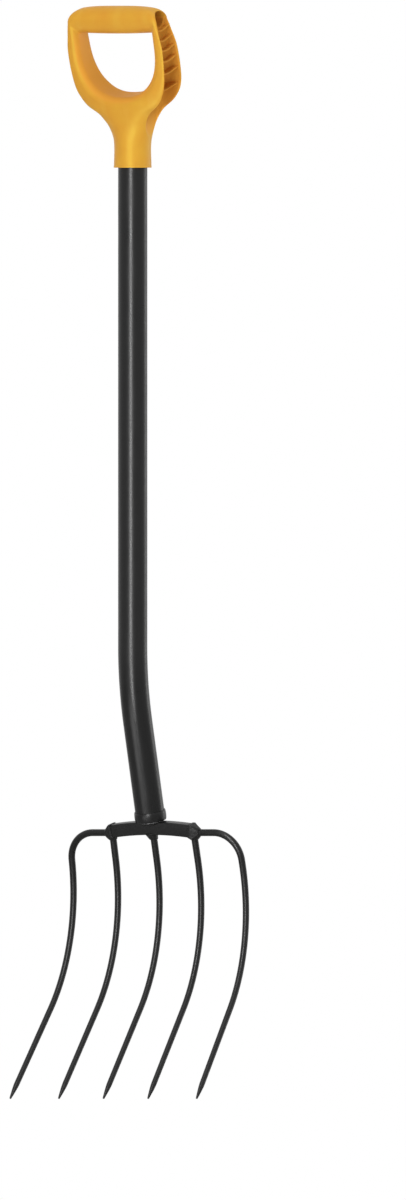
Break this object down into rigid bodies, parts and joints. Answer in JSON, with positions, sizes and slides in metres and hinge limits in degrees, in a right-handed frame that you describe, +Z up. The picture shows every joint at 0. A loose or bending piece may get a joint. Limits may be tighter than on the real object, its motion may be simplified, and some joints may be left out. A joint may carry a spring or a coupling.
{
  "type": "manure fork",
  "caption": "Long handled fork: round curved tines on an arched crossbar, a bent tubular steel shaft and a moulded D-handle, for lifting and moving manure and straw.",
  "frame": {"origin": "on the floor under the upright shaft's axis, level with the tines' tips", "axes": "+X to the fork's right, +Y to its back (the tines point and the handle leans to -Y), +Z up along the upright shaft"},
  "size_m": [0.264, 0.1296, 1.289],
  "materials": {
    "orange_plastic": "satin moulded plastic, yellow-orange",
    "black_coating": "satin black coating on steel",
    "black_weld": "rough weld metal under the same black coating",
    "bare_steel": "bare machined steel",
    "zinc_plate": "zinc plated steel"
  },
  "bodies": {
    "root": {"d_handle": "orange_plastic", "handle_screw": "zinc_plate", "shaft": "black_coating", "shaft_ferrule": "black_coating", "head_plug": "bare_steel", "front_neck_weld": "black_weld", "back_neck_weld": "black_weld", "crossbar": "black_coating", "centre_tine_weld": "black_weld", "left_end_weld": "black_weld", "right_end_weld": "black_weld", "left_outer_tine": "black_coating", "left_inner_tine": "black_coating", "centre_tine": "black_coating", "right_inner_tine": "black_coating", "right_outer_tine": "black_coating"}
  },
  "joints": []
}
